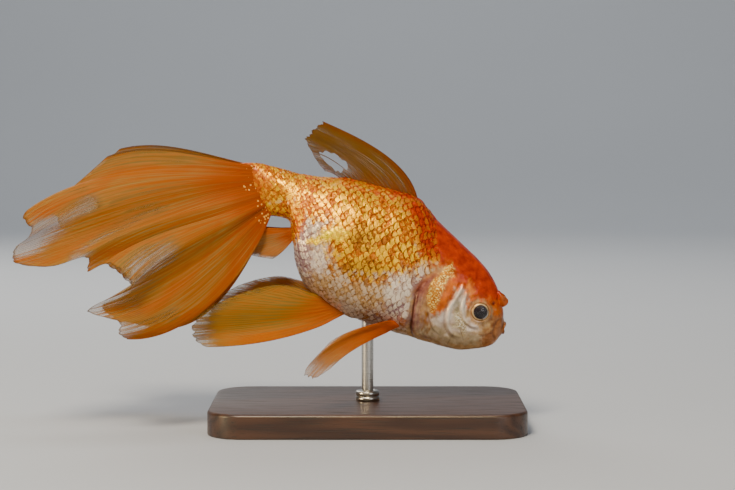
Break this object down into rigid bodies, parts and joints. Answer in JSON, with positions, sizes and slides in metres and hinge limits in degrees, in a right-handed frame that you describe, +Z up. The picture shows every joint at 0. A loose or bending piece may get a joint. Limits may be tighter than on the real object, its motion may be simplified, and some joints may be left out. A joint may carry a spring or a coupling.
{
  "type": "fancy goldfish model",
  "caption": "Life-size still model of a long-finned fancy goldfish, nosing down, with a twin veil tail, held over a flat base by a short rod.",
  "frame": {"origin": "centre of the stand base's underside", "axes": "+X the way the fish heads, +Y its left side, +Z up"},
  "size_m": [0.1679, 0.066, 0.1014],
  "materials": {
    "skin": "moist smooth fish skin, orange-red above and silver-pink on the cheek and belly",
    "scales": "thin round scales with a gold lustre above and pearl below",
    "fin": "thin see-through web on branching rays, deep orange at the roots and clear at the rims",
    "eye": "wet clear dome over a black pupil and a thin pale gold iris",
    "stand_wood": "planed dark walnut, satin oiled",
    "stand_steel": "ground stainless steel"
  },
  "bodies": {
    "root": {"head": "skin", "upper_lip": "skin", "lower_jaw": "skin", "gill_cover_right": "skin", "gill_cover_left": "skin", "nostril_flap_right": "skin", "nostril_flap_left": "skin", "trunk": "scales", "tail_stalk": "scales", "eye_right": "eye", "eye_left": "eye", "tail_fin_right_upper": "fin", "tail_fin_right_lower": "fin", "tail_fin_left_upper": "fin", "tail_fin_left_lower": "fin", "dorsal_fin": "fin", "pelvic_fin_right": "fin", "pelvic_fin_left": "fin", "pectoral_fin_right": "fin", "pectoral_fin_left": "fin", "anal_fin_right": "fin", "anal_fin_left": "fin", "stand_base": "stand_wood", "stand_ferrule": "stand_steel", "stand_rod": "stand_steel"}
  },
  "joints": []
}
